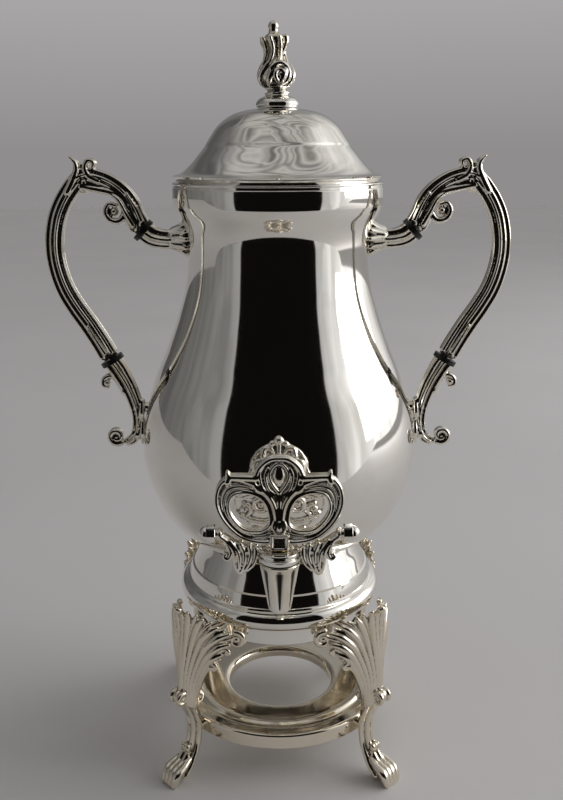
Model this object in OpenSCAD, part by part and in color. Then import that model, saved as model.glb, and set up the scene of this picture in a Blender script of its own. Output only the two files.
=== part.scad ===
// Silver-plated coffee urn: bulb vessel with lid, two insulated scroll handles and a tap,
// on a domed stand with a burner plate and four cast acanthus legs.
// Millimetres. +Z is up, the feet stand on z = 0, the vessel's axis is x = y = 0,
// the tap faces -Y and the handles point along +X and -X.

/* [Vessel] */
// Largest radius of the belly
belly_r = 84; // [83:0.5:86]
// Narrowest radius of the neck
neck_r = 53; // [52:0.5:54]
// Radius of the straight mouth collar
collar_r = 61.2; // [60.8:0.1:61.6]
// Height of the mouth's top edge above the table
mouth_z = 356.3; // [356:0.1:357]
// Thickness of the raised sheet
sheet = 1.2; // [0.9:0.1:1.4]

/* [Lid] */
// Radius of the flared lid rim
lid_rim_r = 60.9; // [60:0.1:61.5]
// Top of the lid dome
lid_top_z = 398.5; // [398:0.1:400]
// Gap between the lid's bezel and the mouth rim
bezel_gap = 0.6; // [0.4:0.1:1]
// Top of the finial
finial_top_z = 445; // [440:0.5:450]

/* [Handles] */
// Radius of the round insulating rings
insulator_r = 7.3; // [6.6:0.1:7.8]
// Thickness of an insulating ring between its two faces
insulator_t = 2.8; // [2.4:0.1:3.2]
// Radius of an insulator's spigots
spigot_r = 2.6; // [2.2:0.1:2.8]
// Depth of the handle compared with its width in the plane of the scroll
grip_depth = 0.95; // [0.8:0.05:1.1]

/* [Tap] */
// Distance of the plug's axis from the vessel's axis
tap_y = 122; // [122:0.5:126]
// Height of the inlet shank's axis
inlet_z = 170; // [169:0.5:171]
// Running clearance between the plug and its seat
plug_gap = 0.05; // [0.02:0.01:0.1]
// Radius of the spout's outlet
outlet_r = 3.6; // [3.2:0.1:4]
// Thickness of the key's plate
key_t = 4; // [3:0.5:5]

/* [Stand] */
// Radius of the half-round moulding of the stand's dome
bulge_r = 64; // [63:0.5:65]
// Outer radius of the burner plate
plate_r = 69.5; // [69:0.5:70]
// Radius of the hole that holds the burner
burner_r = 33.7; // [32:0.1:35]
// Height of the plate's floor
plate_z = 33.4; // [33:0.1:34]
// Number of steps between two knots of a drawn curve
steps = 4; // [3:1:6]

/* [Hidden] */

silver = "#c9c5bd";
warm_silver = "#c2b69f";
black = "#1b1b1c";
brass = "#b99a58";
fibre = "#7a4a36";

slack = 0.05;                    // keeps drawn castings off the round pieces they lie on
floor_z = 139;                   // underside of the vessel's floor disc
floor_r = 47.2;
rim_in_r = 57.6;                 // inside radius of the mouth rim
rim_t = 1.4;
lid_seat_z = mouth_z + rim_t + 0.3;
stud_r = 2;
dome_top_z = 137;
collar_in_r = 50;                // straight skirt under the stand's dome
collar_bottom_z = 85.5;
dome_foot_z = 99;
plate_lip_z = 26.8;
screw_r = 1.5;
leg_screw_z = 92;                // screws into the legs from inside the skirt
plate_screw_z = 31;              // screws into the legs from inside the plate's band

// insulated joints: [x, z, angle from the vertical of the axis towards the grip]
upper_joint = [79.3, 330.2, 48];
lower_joint = [101.7, 251.8, 30];
spigot_len = 8;
pin_r = 0.8;
pin_at = 5.6;

// tap: the plug's taper and the heights along its axis
plug_foot_z = 158.3;
plug_top_z = 178.1;
plug_foot_r = 5.45;
plug_top_r = 6.95;
cap_z = 177.2;
cap_top_z = 182.4;
cap_r = 10.6;
tap_neck_r = 8.8;
tap_neck_z = 178.3;
stem_r = 3.6;
tang = 4.4;                      // side of the square tang that carries the key
tang_top_z = 190;
shank_r = 6;
shank_bore_r = 2.8;
key_loop = [15.5, 202.5];        // centre of a loop of the key, x and z
arm_nut_x = 32;
arm_nut_z = 190.7;

// ---- curves -------------------------------------------------------------------------------

function mix(a, b, t) = a + (b - a) * t;

// one step of a smooth curve through four knots
function knot_step(a, b, c, d, t) =
    0.5 * (2 * b + (c - a) * t + (2 * a - 5 * b + 4 * c - d) * t * t + (3 * b - a - 3 * c + d) * t * t * t);

// smooth curve through a list of knots, ends included
function curve(k, n = steps) = let (last = len(k) - 1) concat(
    [for (i = [0 : last - 1], j = [0 : n - 1])
        knot_step(k[max(i - 1, 0)], k[i], k[i + 1], k[min(i + 2, last)], j / n)],
    [k[last]]);

function unit(v) = v / norm(v);
function left_of(v) = [-v[1], v[0]];

// the same line moved to its left by t, square to its own direction
function moved_in(p, t) = let (last = len(p) - 1)
    [for (i = [0 : last]) p[i] + t * left_of(unit(p[min(i + 1, last)] - p[max(i - 1, 0)]))];

function back_to_front(p) = [for (i = [len(p) - 1 : -1 : 0]) p[i]];

// closed section of a sheet that follows a line
function sheet_section(p, t) = concat(p, back_to_front(moved_in(p, t)));

function oval(c, rx, ry, n = 48) =
    [for (i = [0 : n - 1]) c + [rx * cos(360 * i / n), ry * sin(360 * i / n)]];

function rounded_arc(c, r, a0, a1, n) =
    [for (i = [0 : n]) c + r * [cos(mix(a0, a1, i / n)), sin(mix(a0, a1, i / n))]];

// ---- outlines -----------------------------------------------------------------------------

body_line = concat(
    curve([[48, 138], [61.7, 147.5], [71.8, 159], [79.2, 174.5], [belly_r - 0.6, 190], [belly_r, 203],
        [81.7, 220], [75.9, 240], [67.5, 260], [60.1, 280], [neck_r + 1.6, 300], [neck_r, 320],
        [neck_r + 1.4, 331], [collar_r - 1.8, 340.5], [collar_r, 345]]),
    [[collar_r, mouth_z]]);

lid_line = curve([[lid_rim_r, 361.3], [56.1, 362.8], [50.2, 367.8], [44.6, 374.4], [42, 377.6], [41, 379.4],
    [38, 384], [34.6, 388.6], [29.9, 392.6], [24.2, 395.6], [15, 397.7], [2, lid_top_z]]);

dome_line = concat(
    curve([[48, dome_top_z], [50.4, 131], [53, 125.4], [55, 121]]),
    curve([[56.2, 120.4], [57.2, 117], [58, 113.5]]),
    rounded_arc([57.6, 106.2], bulge_r - 57.6, 75, -80, 14));

plate_line = concat(
    [[plate_r, 26.4]],
    rounded_arc([plate_r - 2, 33.6], 2, 0, 90, 4),
    curve([[62.5, 35.8], [59.4, 35], [56.6, 36.6], [54.2, 34.6], [52, plate_z], [48, plate_z]]),
    [[40, plate_z]],
    rounded_arc([burner_r + 3.4, plate_z - 3.4], 3.4, 90, 180, 5),
    [[burner_r, plate_lip_z]]);

// ---- helpers ------------------------------------------------------------------------------

module turned(p) rotate_extrude($fn = 96) polygon(p);

// solid inside a turned line, grown by a small allowance
module filled(line, grow) turned(concat(
    [[0, line[0][1]]], moved_in(line, -grow), [[0, line[len(line) - 1][1]]]));

module ring(r_in, r_out, z0, z1) translate([0, 0, z0]) difference() {
    cylinder(r = r_out, h = z1 - z0, $fn = 96);
    translate([0, 0, -1]) cylinder(r = r_in, h = z1 - z0 + 2, $fn = 96);
}

// a round bead at [x, y, z] with radius b[3]
module bead(b, depth) translate([b[0], b[1], b[2]]) scale([1, depth, 1]) sphere(b[3], $fn = 10);

// a cast bar that runs through beads
module bar(beads, depth = 1) for (i = [0 : len(beads) - 2]) hull() {
    bead(beads[i], depth);
    bead(beads[i + 1], depth);
}

module both_sides() {
    children();
    mirror([1, 0, 0]) children();
}

module at_joint(j) translate([j[0], 0, j[1]]) rotate([0, j[2], 0]) children();

module at_tap() translate([0, -tap_y, 0]) children();

module along_y(y0, y1, z) translate([0, y0, z]) rotate([-90, 0, 0]) linear_extrude(y1 - y0) children();

// ---- vessel -------------------------------------------------------------------------------

module body_shell() color(silver) difference() {
    turned(sheet_section(body_line, sheet));
    along_y(-belly_r, 0, inlet_z) circle(shank_r + slack, $fn = 48);
}

module vessel_floor() color(silver) ring(0.001, floor_r, floor_z, floor_z + sheet);

module mouth_rim() color(silver) ring(rim_in_r, collar_r, mouth_z, mouth_z + rim_t);

module base_ring() color(silver) ring(41.5, 46.2, 134.2, floor_z);

// ---- lid and finial -----------------------------------------------------------------------

module lid_shell() color(silver) turned(concat(
    lid_line,
    [for (p = back_to_front(moved_in(lid_line, sheet))) if (p[0] < lid_rim_r - 3.5) [max(p[0], 2), p[1]]],
    [[57, 361], [57, lid_seat_z], [58.5, lid_seat_z]]));

module lid_bezel() color(silver) ring(rim_in_r - bezel_gap - sheet, rim_in_r - bezel_gap, 350, 360.8);

module finial_button() color(silver) turned(concat(
    [[stud_r, lid_top_z], [11.2, lid_top_z]],
    curve([[12.2, 399.6], [12.2, 401.6], [10.2, 403.6], [7.4, 404.8]]),
    [[stud_r, 404.8]]));

module finial() color(silver) difference() {
    turned(concat(
        [[0, 404.8]],
        curve([[6.6, 404.8], [5.7, 408], [7.4, 411.6], [11, 415], [10.8, 418.6], [7.4, 424], [5.4, 429],
            [6, 432.6], [7.3, 435.6], [5.6, 437.4], [3.2, 438.6], [3.4, 441.6], [2.2, finial_top_z - 1],
            [0, finial_top_z]])));
    translate([0, 0, 400]) cylinder(r = stud_r, h = 14, $fn = 32);
}

module finial_stud() color(brass) translate([0, 0, 391]) cylinder(r = stud_r, h = 23, $fn = 32);

module finial_washer() color(brass) ring(stud_r, 5.6, 395.85, 397.05);

module finial_nut() color(brass) difference() {
    translate([0, 0, 392.45]) cylinder(r = 4.4, h = 3.4, $fn = 6);
    translate([0, 0, 392]) cylinder(r = stud_r, h = 5, $fn = 32);
}

// ---- handles, drawn on the +X side --------------------------------------------------------

// everything on one side of a joint's ring: side is 1 for the grip's side, -1 for the socket's
module beyond_ring(j, side) at_joint(j) mirror([0, 0, side > 0 ? 0 : 1])
    translate([-9, -9, -14]) cube([18, 18, 14 + insulator_t / 2]);

module spigot_holes(j) at_joint(j)
    translate([0, 0, -spigot_len - insulator_t / 2])
        cylinder(r = spigot_r, h = 2 * spigot_len + insulator_t, $fn = 24);

module pin_holes(j) at_joint(j) for (side = [-1, 1])
    translate([0, 0, side * pin_at]) rotate([90, 0, 0]) cylinder(r = pin_r, h = 20, center = true, $fn = 16);

module insulator(j) color(black) difference() {
    at_joint(j) {
        translate([0, 0, -insulator_t / 2]) cylinder(r = insulator_r, h = insulator_t, $fn = 64);
        translate([0, 0, -spigot_len - insulator_t / 2])
            cylinder(r = spigot_r, h = 2 * spigot_len + insulator_t, $fn = 48);
    }
    pin_holes(j);
}

module insulator_pins() color(brass) both_sides() for (j = [upper_joint, lower_joint])
    at_joint(j) for (side = [-1, 1])
        translate([0, 0, side * pin_at]) rotate([90, 0, 0])
            cylinder(r = pin_r, h = 9.2, center = true, $fn = 24);

module grip() color(silver) difference() {
    union() {
        bar([[80, 0, 331, 6.4], [84.2, 0, 338.6, 6.2], [87.2, 0, 347, 5.8], [93.8, 0, 354.4, 5.4],
            [103, 0, 359.4, 5.2], [113.4, 0, 360.6, 5.6], [122.2, 0, 351.6, 5.2], [128.4, 0, 340.4, 5.2],
            [131.4, 0, 328.6, 5.4], [132, 0, 317, 5.4], [130.4, 0, 306, 5.5], [126.8, 0, 295, 5.6],
            [121, 0, 284.4, 5.7], [114.2, 0, 274, 5.6], [108, 0, 263.6, 5.7],
            [102.6, 0, 253.4, 5.9]], grip_depth);
        // forked crest
        bar([[113.4, 0, 361, 4.6], [118.4, 0, 371, 2]]);
        bar([[111, 0, 361.6, 4.2], [108.2, 0, 369.6, 2.1]]);
        // inner scroll under the arm
        bar([[104, 0, 354, 3], [95, 0, 351.4, 3.2], [90.4, 0, 346, 3], [90, 0, 340.2, 2.8],
            [93.8, 0, 336.2, 2.6], [98.8, 0, 338, 2.4], [99.8, 0, 342.6, 2.2], [96, 0, 343.4, 2]]);
    }
    beyond_ring(upper_joint, 1);
    beyond_ring(lower_joint, 1);
    spigot_holes(upper_joint);
    spigot_holes(lower_joint);
    pin_holes(upper_joint);
    pin_holes(lower_joint);
}

module socket_upper() color(silver) difference() {
    union() {
        bar([[78, 0, 329.4, 6.5], [73.6, 0, 326, 6.5], [67, 0, 325, 6.2], [60.6, 0, 325, 6.4],
            [53, 0, 325, 8]], grip_depth);
        // petals spread on the neck
        for (petal = [-60 : 30 : 60]) hull() {
            bead([55, 0, 325, 3.4], 1);
            bead([53.6 - 0.8 * sin(abs(petal)), 9.6 * sin(petal), 325 - 9.6 * cos(petal), 2], 1);
        }
        bar([[55, 0, 327, 3.4], [54, 0, 334, 2.2]]);
    }
    beyond_ring(upper_joint, -1);
    spigot_holes(upper_joint);
    pin_holes(upper_joint);
    filled(body_line, slack);
}

module socket_lower() color(silver) difference() {
    union() {
        bar([[101, 0, 250.6, 5.8], [98, 0, 246, 5.6], [93, 0, 236.4, 5], [89.2, 0, 226, 4.5],
            [87.4, 0, 216, 4.1],
            [88.2, 0, 207.4, 3.7], [91.8, 0, 201, 3.2], [97.2, 0, 198.2, 2.8], [102.6, 0, 198.4, 2.6],
            [105.6, 0, 201.8, 2.3], [103, 0, 204.6, 2.1]], grip_depth);
        // leaf curl at the shoulder
        bar([[97.6, 0, 242, 2.4], [103, 0, 240.6, 1.9], [107, 0, 236.4, 2.7]]);
        // two pads soldered to the belly
        bar([[87.2, 0, 222, 3.3], [80.5, 0, 222, 3.3]]);
        bar([[88.4, 0, 204.4, 2.4], [83, 0, 204.4, 2.4]]);
    }
    beyond_ring(lower_joint, -1);
    spigot_holes(lower_joint);
    pin_holes(lower_joint);
    filled(body_line, slack);
}

module socket_upper_right() socket_upper();
module socket_upper_left() mirror([1, 0, 0]) socket_upper();
module insulator_upper_right() insulator(upper_joint);
module insulator_upper_left() mirror([1, 0, 0]) insulator(upper_joint);
module grip_right() grip();
module grip_left() mirror([1, 0, 0]) grip();
module insulator_lower_right() insulator(lower_joint);
module insulator_lower_left() mirror([1, 0, 0]) insulator(lower_joint);
module socket_lower_right() socket_lower();
module socket_lower_left() mirror([1, 0, 0]) socket_lower();

// ---- tap ----------------------------------------------------------------------------------

// shield that lies on the belly behind the tap
back_plate_outline = concat(
    curve([[0, 227], [5, 222.5], [13, 220], [16, 213], [21, 205], [25, 195], [24, 186], [17, 178], [12, 168],
        [0, 159.6]], 3),
    [for (p = back_to_front(curve([[0, 227], [5, 222.5], [13, 220], [15.4, 213], [19.6, 204], [19, 190],
        [13.4, 180], [12, 168], [0, 159.6]], 3))) if (p[0] > 0.01) [-p[0], p[1]]]);

module back_plate() color(silver) difference() {
    intersection() {
        turned(concat(body_line, back_to_front(moved_in(body_line, -2.2))));
        along_y(-belly_r - 8, -40, 0) mirror([0, 1]) polygon(back_plate_outline);
    }
    along_y(-belly_r - 8, -40, inlet_z) circle(shank_r + slack, $fn = 48);
}

module inlet_shank() color(silver) difference() {
    along_y(-tap_y + 6, -62, inlet_z) circle(shank_r, $fn = 48);
    along_y(-tap_y, -61, inlet_z) circle(shank_bore_r, $fn = 32);
    at_tap() turned(concat([[0, 148.8]], tap_line, [[0, tap_neck_z]]));
}

// saddle washer between the sloping wall and the flat nut
module inlet_gasket() color(fibre) intersection() {
    along_y(-82, -69, inlet_z) difference() {
        circle(9, $fn = 48);
        circle(shank_r, $fn = 48);
    }
    turned(concat([[0, 150]], [for (p = moved_in(body_line, sheet)) if (p[1] > 150 && p[1] < 200) p],
        [[0, 195]]));
}

module inlet_nut() color(brass) along_y(-69, -64.5, inlet_z) difference() {
    circle(9.4, $fn = 6);
    circle(shank_r, $fn = 48);
}

tap_line = concat(
    curve([[5.2, 148.8], [5.9, 150.4], [7.1, 157.4], [8.5, 165.4], [9.9, 173.2], [10.4, 175.4]]),
    [[10.4, 176.4], [tap_neck_r, 176.4], [tap_neck_r, tap_neck_z]]);

module tap_body() color(silver) difference() {
    at_tap() turned(concat([[outlet_r, 148.8]], tap_line,
        [[plug_top_r + plug_gap, tap_neck_z], [plug_foot_r + plug_gap, 158], [outlet_r, 158]]));
    along_y(-tap_y + 3, -100, inlet_z) circle(shank_bore_r, $fn = 32);
}

module tap_cap() color(silver) at_tap() turned([
    [tap_neck_r, cap_z - 0.8], [9.8, cap_z - 0.8], [cap_r, cap_z], [cap_r, 179], [9.7, 179.6],
    [cap_r, 180.2],
    [cap_r, cap_top_z - 0.5], [cap_r - 0.5, cap_top_z], [stem_r + plug_gap, cap_top_z],
    [stem_r + plug_gap, tap_neck_z + 0.7], [tap_neck_r, tap_neck_z + 0.7]]);

module plug_washer() color(fibre) at_tap() ring(stem_r + 0.3, 8.4, tap_neck_z, tap_neck_z + 0.6);

module tap_plug() color(brass) at_tap() difference() {
    union() {
        turned([[0, plug_foot_z], [plug_foot_r, plug_foot_z], [plug_top_r, plug_top_z], [stem_r, plug_top_z],
            [stem_r, cap_top_z + 0.5], [0, cap_top_z + 0.5]]);
        translate([-tang / 2, -tang / 2, cap_top_z]) cube([tang, tang, tang_top_z - cap_top_z]);
    }
    translate([0, 0, plug_foot_z - 1]) cylinder(r = 3.2, h = 17, $fn = 32);
    // side port, turned away from the inlet while the tap is shut
    translate([0, 0, inlet_z]) rotate([0, 90, 0]) cylinder(r = shank_bore_r, h = 12, $fn = 32);
}

module key_face() {
    difference() {
        union() {
            for (side = [-1, 1]) polygon(oval([side * key_loop[0], key_loop[1]], 17, 17.5));
            // palmette and the shoulder bars at its sides
            polygon(oval([0, 219], 12.8, 12.2));
            translate([-26.4, 217.8]) square([52.8, 4.6]);
            translate([-4.6, cap_top_z + 0.8]) square([9.2, 8.4]);
        }
        for (side = [-1, 1]) polygon(oval([side * key_loop[0], key_loop[1]], 12, 10.4));
    }
}

module tap_key() color(silver) at_tap() difference() {
    union() {
        rotate([90, 0, 0]) linear_extrude(key_t, center = true) key_face();
        translate([-4.6, -4.2, cap_top_z + 0.8]) cube([9.2, 8.4, 8.4]);
    }
    translate([-tang / 2, -tang / 2, cap_top_z - 1]) cube([tang, tang, tang_top_z - cap_top_z + 1]);
    translate([0, tang / 2 - 1, 187]) rotate([-90, 0, 0]) cylinder(r = 0.9, h = 8, $fn = 24);
}

// grub screw from behind, flush with the key's hub
module key_screw() color(brass) at_tap()
    translate([0, tang / 2, 187]) rotate([-90, 0, 0]) cylinder(r = 0.9, h = 4.2 - tang / 2, $fn = 24);

module tap_arm() color(silver) difference() {
    at_tap() union() {
        bar([[7, 0, 172.6, 2.6], [13.4, 0, 179.4, 2.6], [20, 0, 181.2, 2.6], [25, 0, 183.6, 2.4],
            [28.4, 0, 186.8, 2.2], [31.4, 0, arm_nut_z, 2.2]]);
        // hanging leaf and its two curls
        bar([[14, 0, 178.6, 2.8], [17, 0, 174, 3.4], [20, 0, 169.8, 3], [23.6, 0, 171.2, 1.6]]);
        bar([[23, 0, 182, 2], [26.4, 0, 178.4, 1.6]]);
    }
    at_tap() turned(concat([[0, 140]], [for (p = moved_in(tap_line, -slack)) if (p[1] < cap_z - 1) p],
        [[cap_r + slack, cap_z - 0.9], [cap_r + slack, 190], [0, 190]]));
    at_tap() translate([arm_nut_x, -8, 180]) cube([8, 16, 20]);
}

// hexagonal domed nuts on the ends of the arms
module tap_arm_nuts() color(silver) at_tap() both_sides() translate([arm_nut_x, 0, arm_nut_z])
    rotate([0, 90, 0]) {
    cylinder(r = 4.7, h = 4.6, $fn = 6);
    translate([0, 0, 4.6]) rotate_extrude($fn = 48)
        polygon(concat([[0, 0]], rounded_arc([0, 0], 3.9, 0, 90, 8)));
}

module tap_arm_right() tap_arm();
module tap_arm_left() mirror([1, 0, 0]) tap_arm();

// ---- stand --------------------------------------------------------------------------------

module radial(angle, r, z) rotate([0, 0, angle]) translate([r, 0, z]) rotate([0, 90, 0]) children();

module leg_screw_holes(angles, r) {
    for (a = angles) radial(a, 40, leg_screw_z) cylinder(r = r, h = 30, $fn = 24);
    for (a = angles) radial(a, 60, plate_screw_z) cylinder(r = r, h = 18, $fn = 24);
}

leg_angles = [45, 135, 225, 315];

// the dome line runs down its outside, so its sheet lies to the right of it
module stand_dome() color(silver) turned(sheet_section(back_to_front(dome_line), sheet));

module stand_collar() color(silver) difference() {
    union() {
        ring(collar_in_r, collar_in_r + sheet, collar_bottom_z, dome_foot_z + 0.6);
        ring(collar_in_r, 58.45, dome_foot_z + 0.6, dome_foot_z + 0.8 + sheet);
    }
    leg_screw_holes(leg_angles, screw_r);
}

module burner_plate() color(warm_silver) difference() {
    turned(sheet_section(plate_line, sheet));
    leg_screw_holes(leg_angles, screw_r);
}

module leg(angle) color(warm_silver) rotate([0, 0, angle]) difference() {
    union() {
        // paw, shin, knee and stem up to the curled tip
        bar([[93, 0, 2.8, 3.8], [88, 0, 4.2, 4.8], [82.6, 0, 12.4, 4.2], [77, 0, 21, 4.2],
            [74.4, 0, 29, 4.6], [75.4, 0, 38, 4.8], [80.4, 0, 47, 5.2], [84.4, 0, 57, 5.4],
            [82.6, 0, 70, 5.4], [79.8, 0, 84, 5.4],
            [78.6, 0, 98, 5], [80.2, 0, 109, 3.8], [83.4, 0, 115.4, 2.6]]);
        // knee scroll
        bar([[84, 0, 60, 4.6], [88.4, 0, 57.4, 3]]);
        // lug to the skirt under the dome
        bar([[79.4, 0, 92, 5], [50, 0, leg_screw_z, 4.6]]);
        for (side = [-1, 1]) {
            // long leaf that ends in a scroll against the dome
            bar([[81, side * 2, 76, 5], [77.4, side * 10, 93, 4.8], [70, side * 19, 98.6, 4.6],
                [61.6, side * 25.4, 96.4, 5.6]]);
            // upper and lower leaf tips
            bar([[79.8, side * 3, 92, 4.6], [76.4, side * 11.6, 106, 2.6]]);
            bar([[82.4, side * 2, 66, 4.6], [77.6, side * 10.6, 81, 3.6], [73.8, side * 16.6, 84, 3]]);
        }
    }
    rotate([0, 0, -angle]) {
        filled(back_to_front(dome_line), slack);
        filled([[collar_in_r + sheet, 80], [collar_in_r + sheet, 97], [58.6, 99.4], [58.6, 101.6]], slack);
        filled([[plate_r, 20], [plate_r, 37]], slack);
        leg_screw_holes([angle], screw_r);
    }
    translate([60, -20, -10]) cube([60, 40, 10]);
}

module leg_screws() color(brass) for (a = leg_angles) {
    radial(a, 48.8, leg_screw_z) cylinder(r = screw_r, h = 13, $fn = 32);
    radial(a, 47, leg_screw_z) cylinder(r = 2.8, h = 1.8, $fn = 32);
    radial(a, 67, plate_screw_z) cylinder(r = screw_r, h = 9, $fn = 32);
    radial(a, 65.4, plate_screw_z) cylinder(r = 2.6, h = 1.6, $fn = 32);
}

module leg_back_right() leg(45);
module leg_back_left() leg(135);
module leg_front_left() leg(225);
module leg_front_right() leg(315);

body_shell();
vessel_floor();
mouth_rim();
base_ring();
lid_shell();
lid_bezel();
finial_button();
finial();
finial_stud();
finial_washer();
finial_nut();
socket_upper_left();
socket_upper_right();
insulator_upper_left();
insulator_upper_right();
grip_left();
grip_right();
insulator_lower_left();
insulator_lower_right();
socket_lower_left();
socket_lower_right();
insulator_pins();
back_plate();
inlet_shank();
inlet_gasket();
inlet_nut();
tap_body();
tap_cap();
plug_washer();
tap_plug();
tap_key();
key_screw();
tap_arm_left();
tap_arm_right();
tap_arm_nuts();
stand_dome();
stand_collar();
burner_plate();
leg_front_left();
leg_front_right();
leg_back_left();
leg_back_right();
leg_screws();
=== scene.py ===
"""Silver-plated coffee urn on its burner stand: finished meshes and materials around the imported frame.

Everything is in the frame's own axes: +Z up, the vessel's axis at x = y = 0, the tap towards -Y.
Outlines are drawn in millimetres and turned to metres when a mesh is made.
"""
import math

import bmesh
import bpy
import numpy as np
from mathutils import Euler, Matrix, Vector


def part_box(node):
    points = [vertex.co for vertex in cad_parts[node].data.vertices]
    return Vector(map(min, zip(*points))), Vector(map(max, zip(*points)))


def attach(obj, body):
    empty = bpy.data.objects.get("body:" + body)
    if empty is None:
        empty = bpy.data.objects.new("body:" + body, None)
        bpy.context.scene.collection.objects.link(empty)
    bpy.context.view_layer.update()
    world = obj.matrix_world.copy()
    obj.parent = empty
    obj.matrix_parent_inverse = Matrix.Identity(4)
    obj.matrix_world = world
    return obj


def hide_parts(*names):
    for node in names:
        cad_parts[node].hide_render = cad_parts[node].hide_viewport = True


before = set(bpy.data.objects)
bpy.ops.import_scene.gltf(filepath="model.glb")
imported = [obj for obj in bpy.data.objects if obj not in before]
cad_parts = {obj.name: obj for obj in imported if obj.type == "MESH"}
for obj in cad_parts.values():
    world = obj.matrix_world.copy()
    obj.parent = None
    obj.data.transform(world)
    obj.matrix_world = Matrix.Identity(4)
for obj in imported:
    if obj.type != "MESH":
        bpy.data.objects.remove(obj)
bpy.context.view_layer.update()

MM = 0.001
TURNS = 256                      # facets round a large spun piece
SHARP = math.radians(32)         # a steeper corner than this stays crisp on a turned piece
TIGHT_HOLLOW = 0.00006           # metres below its neighbours at which a point holds all its tarnish
scene = bpy.context.scene


# ---- numbers taken from the frame ----

def box_mm(node):
    """Lowest and highest corner of a CAD node in millimetres."""
    low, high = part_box(node)
    return np.array(low) / MM, np.array(high) / MM


def centre_mm(node):
    low, high = box_mm(node)
    return (low + high) / 2


ON_TAP = np.array([0.0, centre_mm("tap_cap")[1], 0.0])    # where the tap's upright axis stands
WALL = 1.2                                                # sheet thickness of the spun pieces


# ---- curves ----

def smooth_line(knots, step=0.8):
    """Smooth curve through knots of any size, with points about step apart."""
    knots = np.array(knots, float)
    padded = np.vstack([2 * knots[0] - knots[1], knots, 2 * knots[-1] - knots[-2]])
    points = []
    for i in range(len(knots) - 1):
        a, b, c, d = padded[i:i + 4]
        count = max(2, int(np.linalg.norm((c - b)[:3]) / step))
        t = np.linspace(0, 1, count, endpoint=False)[:, None]
        points.append(0.5 * (2 * b + (c - a) * t + (2 * a - 5 * b + 4 * c - d) * t ** 2
                             + (3 * b - a - 3 * c + d) * t ** 3))
    return np.vstack([*points, knots[-1:]])


def arc(centre, radius, start, end, count=16):
    """Points on a round arc, angles in degrees."""
    angles = np.radians(np.linspace(start, end, count))
    return np.column_stack([centre[0] + radius * np.cos(angles), centre[1] + radius * np.sin(angles)])


def heading(line):
    """Unit direction of a line at each of its points."""
    along = np.gradient(line, axis=0)
    return along / np.linalg.norm(along, axis=1)[:, None]


def offset_left(line, distance):
    """The same line moved to its left, square to its own direction."""
    line = np.asarray(line, float)
    along = heading(line)
    return line + distance * np.column_stack([-along[:, 1], along[:, 0]])


def sheet_section(line, thickness):
    """Closed section of a sheet whose outside follows a line, its inside the thickness to the left."""
    return np.vstack([line, offset_left(line, thickness)[::-1]])


def fit_outline(outline, node):
    """Scale a turned outline (radius, height) to the box of the CAD node it stands for."""
    outline = np.array(outline, float)
    low, high = box_mm(node)
    radius = high[0] / outline[:, 0].max()
    z0, z1 = outline[:, 1].min(), outline[:, 1].max()
    outline[:, 0] *= radius
    outline[:, 1] = low[2] + (outline[:, 1] - z0) * (high[2] - low[2]) / (z1 - z0)
    return outline


# ---- meshes ----

def new_mesh(name, verts, faces):
    """A mesh in metres from points in millimetres."""
    mesh = bpy.data.meshes.new(name)
    mesh.from_pydata((verts * MM).tolist(), [], faces)
    return mesh


def placed(name, data):
    """A new object in the scene."""
    made = bpy.data.objects.new(name, data)
    scene.collection.objects.link(made)
    return made


def mesh_piece(name, verts, faces, material, body="urn", slot="silver_plate", stands_for=None):
    """A finished piece that rides on a body and may stand for a CAD node."""
    mesh = new_mesh(name, verts, faces)
    mesh.update()
    piece = dress(mesh, name, material, body, stands_for)
    mesh.set_sharp_from_angle(angle=SHARP)
    return piece


def dress(mesh, name, material, body, stands_for):
    mesh.polygons.foreach_set("use_smooth", [True] * len(mesh.polygons))
    mesh.materials.clear()
    mesh.materials.append(material)
    piece = placed(name, mesh)
    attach(piece, body)
    if stands_for:
        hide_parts(stands_for)
    return piece


def quads(rows, columns, close_rows=True, close_columns=True):
    """Four-sided faces over rows of points, where the last row or column may join the first."""
    faces = []
    for i in range(rows if close_rows else rows - 1):
        j = (i + 1) % rows
        for k in range(columns if close_columns else columns - 1):
            m = (k + 1) % columns
            faces.append((i * columns + k, i * columns + m, j * columns + m, j * columns + k))
    return faces


def lathe(outline, turns=TURNS, closed=True, swell=None):
    """Vertices and faces of a turned outline. swell(angle, radius, height) may vary the radius."""
    outline = np.asarray(outline, float)
    angles = np.linspace(0, 2 * np.pi, turns, endpoint=False)
    radius = np.tile(outline[:, 0], (turns, 1))
    height = np.tile(outline[:, 1], (turns, 1))
    if swell is not None:
        radius = swell(angles[:, None], radius, height)
    verts = np.stack([radius * np.cos(angles)[:, None], radius * np.sin(angles)[:, None], height], -1)
    faces = [(a, d, c, b) for a, b, c, d in quads(turns, len(outline), close_columns=closed)]
    return verts.reshape(-1, 3), faces


def capped_lathe(outline, turns=TURNS, swell=None):
    """A turned solid whose outline starts and ends on the axis."""
    inner = [(max(r, 0.02), z) for r, z in outline]
    verts, faces = lathe(inner, turns, closed=False, swell=swell)
    count = len(inner)
    faces.append(tuple(i * count for i in range(turns))[::-1])
    faces.append(tuple(i * count + count - 1 for i in range(turns)))
    return verts, faces


def spun(name, outline, material, stands_for, body="urn", slot="silver_plate"):
    """A piece turned from sheet, in the place and size of the CAD node it stands for."""
    mesh_piece(name, *lathe(fit_outline(outline, stands_for)), material, body, slot, stands_for)


def moved(part, offset):
    verts, faces = part
    return verts + np.asarray(offset, float), faces


def mirrored(part, flip=(-1, 1, 1)):
    verts, faces = part
    return verts * np.array(flip), [tuple(reversed(f)) for f in faces]


def pair(parts):
    """The right-hand casting as drawn, then its mirror image."""
    yield "right", parts
    yield "left", [mirrored(part) for part in parts]


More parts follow.
